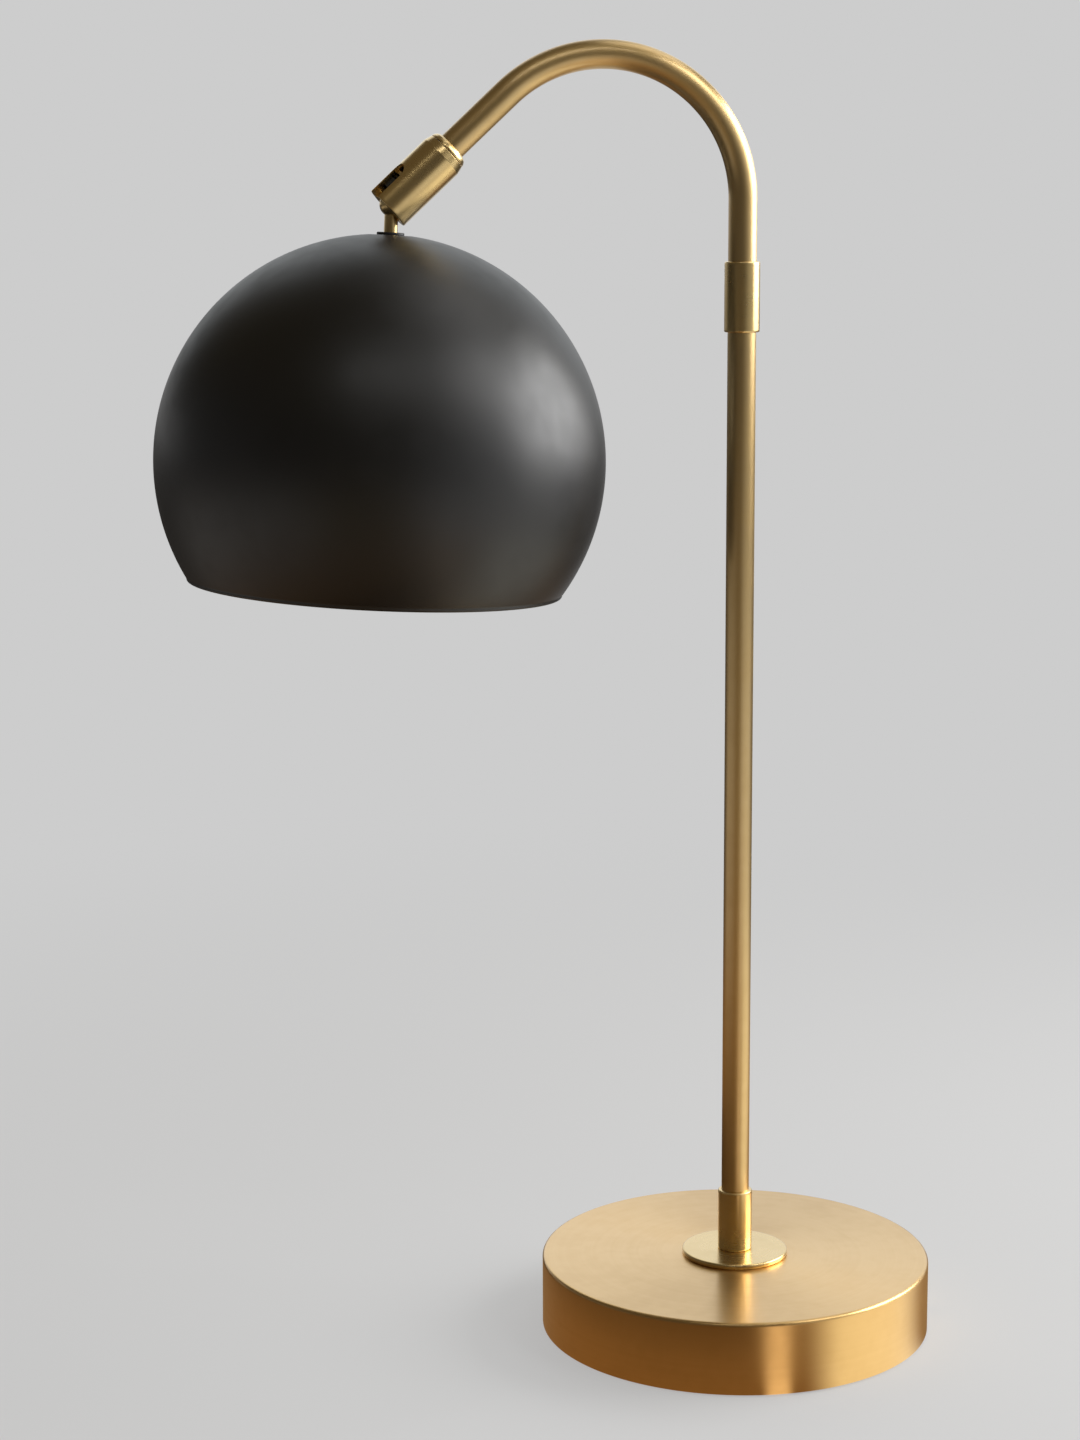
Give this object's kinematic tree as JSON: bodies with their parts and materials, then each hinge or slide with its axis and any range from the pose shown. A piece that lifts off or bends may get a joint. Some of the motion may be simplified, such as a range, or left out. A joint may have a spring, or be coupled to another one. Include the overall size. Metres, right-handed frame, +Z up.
{
  "type": "dome shade desk lamp",
  "caption": "Desk lamp with a heavy round brass base, a brass stem that curves over, and a black dome shade hung from a ball swivel in a slotted barrel.",
  "frame": {"origin": "centre of the foot, on the surface that the lamp stands on", "axes": "+Z up along the stem; -X towards the shade; +Y completes the right-handed frame"},
  "size_m": [0.352, 0.198, 0.588],
  "materials": {
    "brushed_brass": "turned satin brass, clear lacquered",
    "satin_brass": "satin brass tube, clear lacquered",
    "polished_brass": "polished brass",
    "cast_iron": "as cast, black primed",
    "blued_steel": "blued spring steel",
    "zinc_steel": "bright zinc plate",
    "felt": "dark felt",
    "black_paint": "matt black powder coat outside, matt white inside",
    "black_nylon": "moulded, satin",
    "black_phenolic": "moulded phenolic",
    "white_nylon": "natural nylon",
    "nickel": "bright nickel plate",
    "opal_glass": "opal white",
    "black_glass": "glossy black insulator with a soldered tip",
    "lead_sheath": "smooth sheath"
  },
  "bodies": {
    "stand": {"base_cover": "brushed_brass", "base_weight": "cast_iron", "bottom_plate": "zinc_steel", "plate_screws": "zinc_steel", "base_pad": "felt", "cord_bush": "black_nylon", "terminal_block": "white_nylon", "block_screws": "zinc_steel", "stem_flange": "polished_brass", "foot_sleeve": "polished_brass", "coupling_sleeve": "polished_brass", "stem_nipple": "zinc_steel", "nipple_washer": "zinc_steel", "nipple_nut": "zinc_steel", "lower_stem": "satin_brass", "stem_insert": "polished_brass", "swivel_washer": "white_nylon", "lead_stem": "lead_sheath"},
    "arm": {"arm_tube": "satin_brass", "arm_pivot": "polished_brass", "pivot_spring": "zinc_steel", "pivot_nut": "zinc_steel", "barrel_cap": "polished_brass", "barrel_nut": "polished_brass", "lead_arm": "lead_sheath"},
    "barrel": {"swivel_barrel": "polished_brass", "pressure_cup": "black_nylon", "disc_springs": "blued_steel", "preload_ring": "polished_brass"},
    "neck": {"ball_neck": "polished_brass", "neck_nut": "polished_brass", "lead_neck": "lead_sheath"},
    "head": {"shade": "black_paint", "shade_washer": "black_nylon", "inner_washer": "zinc_steel", "holder_cap": "black_phenolic", "holder_body": "black_phenolic", "screw_shell": "nickel", "centre_contact": "nickel", "terminal_screws": "polished_brass", "bulb_glass": "opal_glass", "bulb_cap": "nickel", "bulb_contact": "black_glass", "lead_cores": "lead_sheath"}
  },
  "joints": [
    {"name": "arm_turn", "type": "hinge", "parent": "stand", "child": "arm", "pos_m": [0, 0, 0.4768], "axis": [0, 0, 1], "range_deg": [-170, 170]},
    {"name": "barrel_turn", "type": "hinge", "parent": "arm", "child": "barrel", "pos_m": [-0.15497, 0, 0.51778], "axis": [0.7314, 0, 0.682], "range_deg": [-90, 90]},
    {"name": "head_tilt", "type": "hinge", "parent": "barrel", "child": "neck", "pos_m": [-0.15497, 0, 0.51778], "axis": [-0.1742, 0.9668, 0.1868], "range_deg": [-3, 133]},
    {"name": "shade_turn", "type": "hinge", "parent": "neck", "child": "head", "pos_m": [-0.15497, 0, 0.51778], "axis": [0.0576, 0, 0.9983], "range_deg": [-170, 170]}
  ]
}
